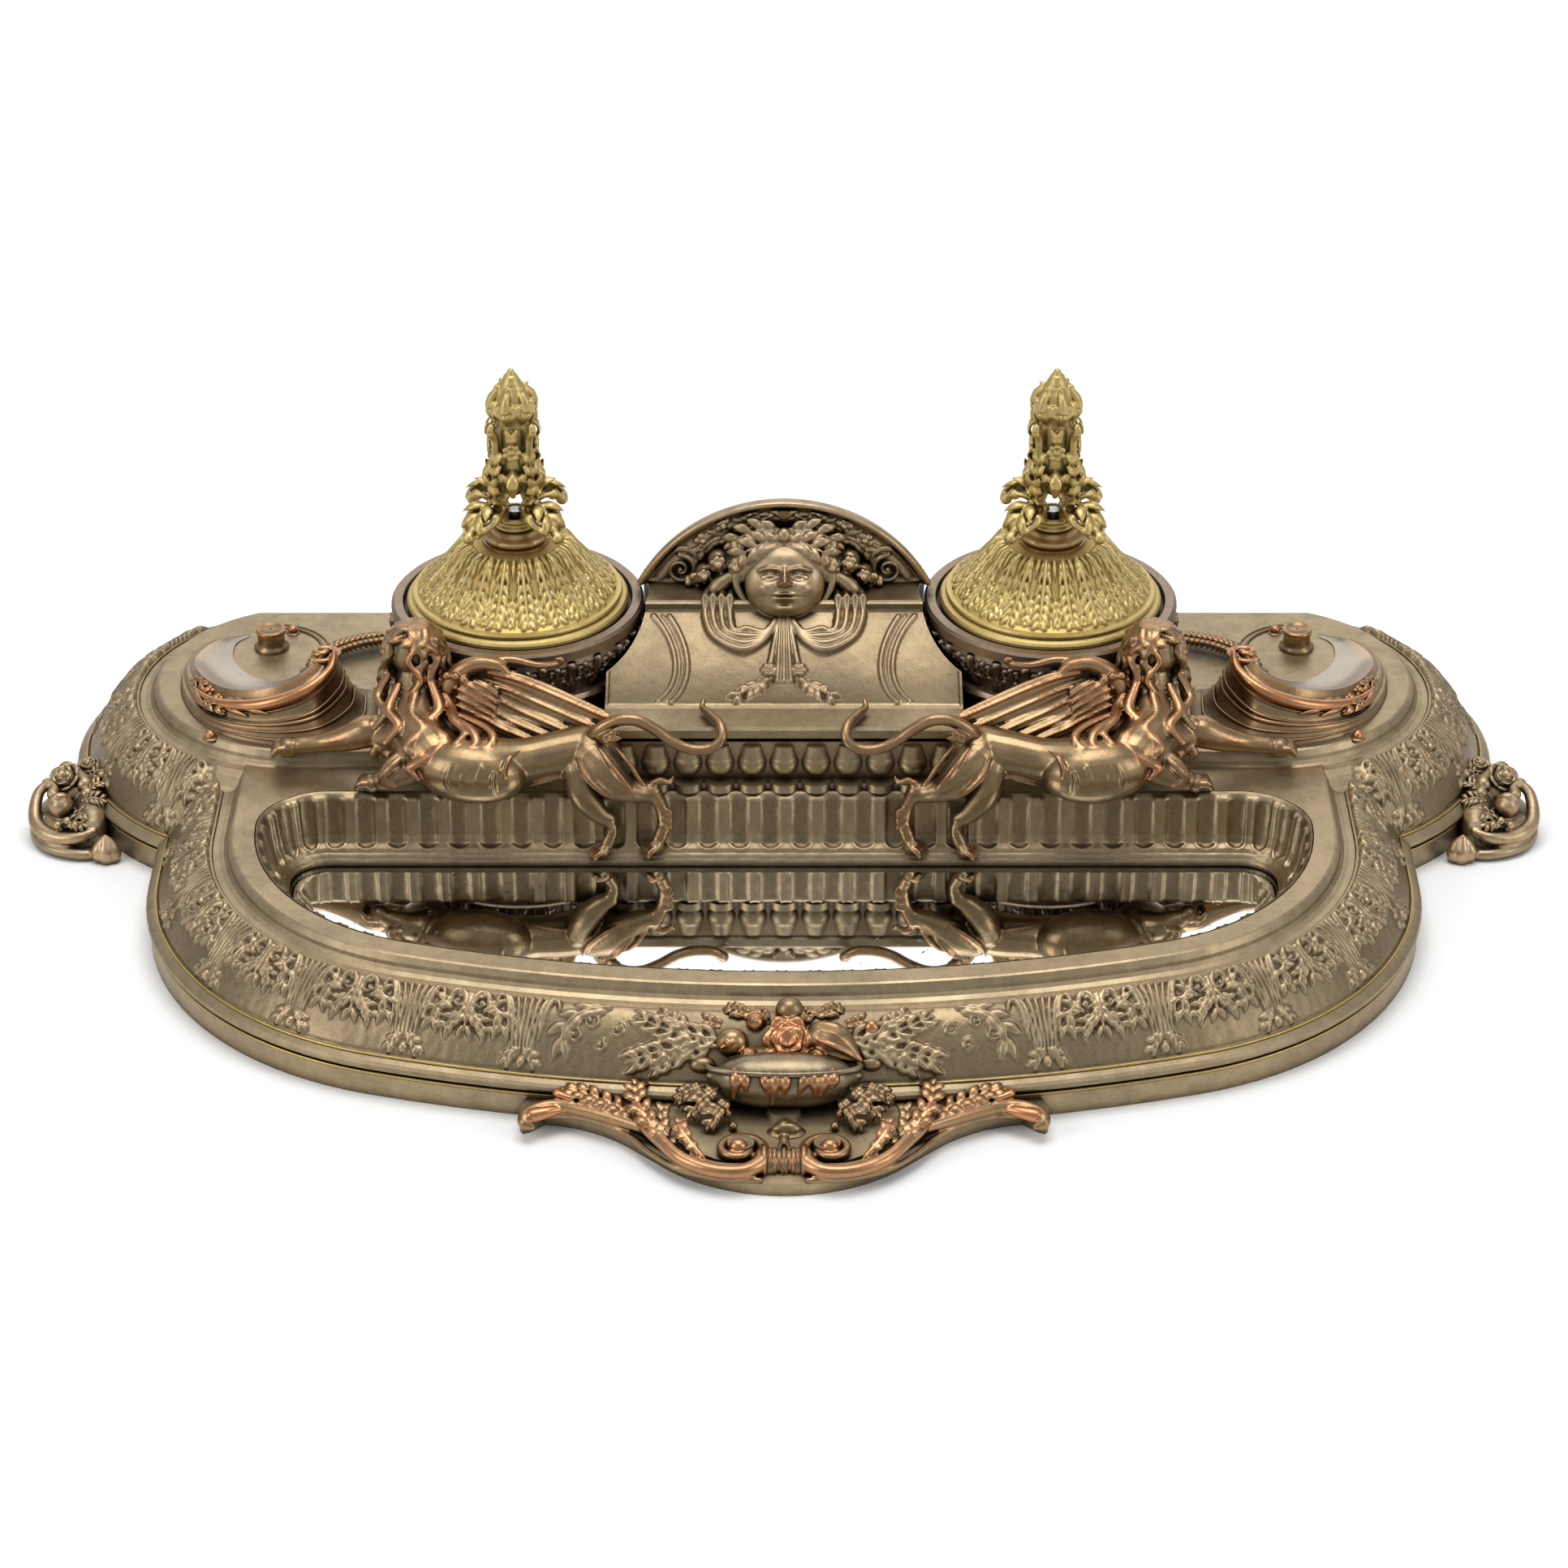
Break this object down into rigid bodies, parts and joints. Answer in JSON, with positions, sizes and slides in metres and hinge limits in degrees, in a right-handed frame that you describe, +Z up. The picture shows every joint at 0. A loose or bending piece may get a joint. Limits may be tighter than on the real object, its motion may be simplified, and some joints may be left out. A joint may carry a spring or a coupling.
{
  "type": "desk inkstand",
  "caption": "Bronze desk inkstand with domed lift-off lids over glass ink pots, a mirror-floored fluted pen tray, coved block with lunette crest, and winged lions.",
  "frame": {"origin": "centre of the bounding box at the desk", "axes": "+X to the right along the long front, +Y to the back, +Z up"},
  "size_m": [0.4314, 0.2524, 0.1313],
  "materials": {
    "antique_bronze": "olive-brown antique bronze with rubbed highlights",
    "dark_bronze": "dark purple-brown patinated bronze",
    "rubbed_bronze": "bronze rubbed to coppery red on the high points",
    "copper_bronze": "warm copper-coloured bronze",
    "gilt_brass": "satin gilt brass",
    "pot_glass": "clear pressed glass",
    "mirror_glass": "bevelled mirror plate",
    "card": "dark backing card",
    "board_wood": "dark stained board",
    "steel": "plain steel screws and studs"
  },
  "bodies": {
    "base": {"base_casting": "antique_bronze", "base_board": "board_wood", "board_screws": "steel", "tray_mirror": "mirror_glass", "mirror_backing": "card", "centre_block": "antique_bronze", "block_gadroons": "antique_bronze", "block_screws": "steel", "crest": "antique_bronze", "crest_mask": "antique_bronze", "crest_drapery": "antique_bronze", "cup_left": "dark_bronze", "cup_right": "dark_bronze", "cup_studs": "steel", "chimera_left": "rubbed_bronze", "chimera_right": "rubbed_bronze", "wing_left": "rubbed_bronze", "wing_right": "rubbed_bronze", "tail_left": "rubbed_bronze", "tail_right": "rubbed_bronze", "scroll_left": "antique_bronze", "scroll_right": "antique_bronze", "scroll_boss_left": "rubbed_bronze", "scroll_boss_right": "rubbed_bronze", "side_cartouche_left": "antique_bronze", "side_cartouche_right": "antique_bronze", "front_apron": "antique_bronze", "apron_rosette": "rubbed_bronze"},
    "pot_left": {"ink_pot_left": "pot_glass"},
    "lid_left": {"lid_left": "gilt_brass", "lid_collar_left": "copper_bronze", "finial_left": "gilt_brass", "finial_screw_left": "steel"},
    "pot_right": {"ink_pot_right": "pot_glass"},
    "lid_right": {"lid_right": "gilt_brass", "lid_collar_right": "copper_bronze", "finial_right": "gilt_brass", "finial_screw_right": "steel"}
  },
  "joints": [
    {"name": "pot_left_lift", "type": "slide", "parent": "base", "child": "pot_left", "axis": [0, 0, 1], "range_m": [0, 0.05]},
    {"name": "lid_left_lift", "type": "slide", "parent": "pot_left", "child": "lid_left", "axis": [0, 0, 1], "range_m": [0, 0.06]},
    {"name": "pot_right_lift", "type": "slide", "parent": "base", "child": "pot_right", "axis": [0, 0, 1], "range_m": [0, 0.05]},
    {"name": "lid_right_lift", "type": "slide", "parent": "pot_right", "child": "lid_right", "axis": [0, 0, 1], "range_m": [0, 0.06]}
  ]
}
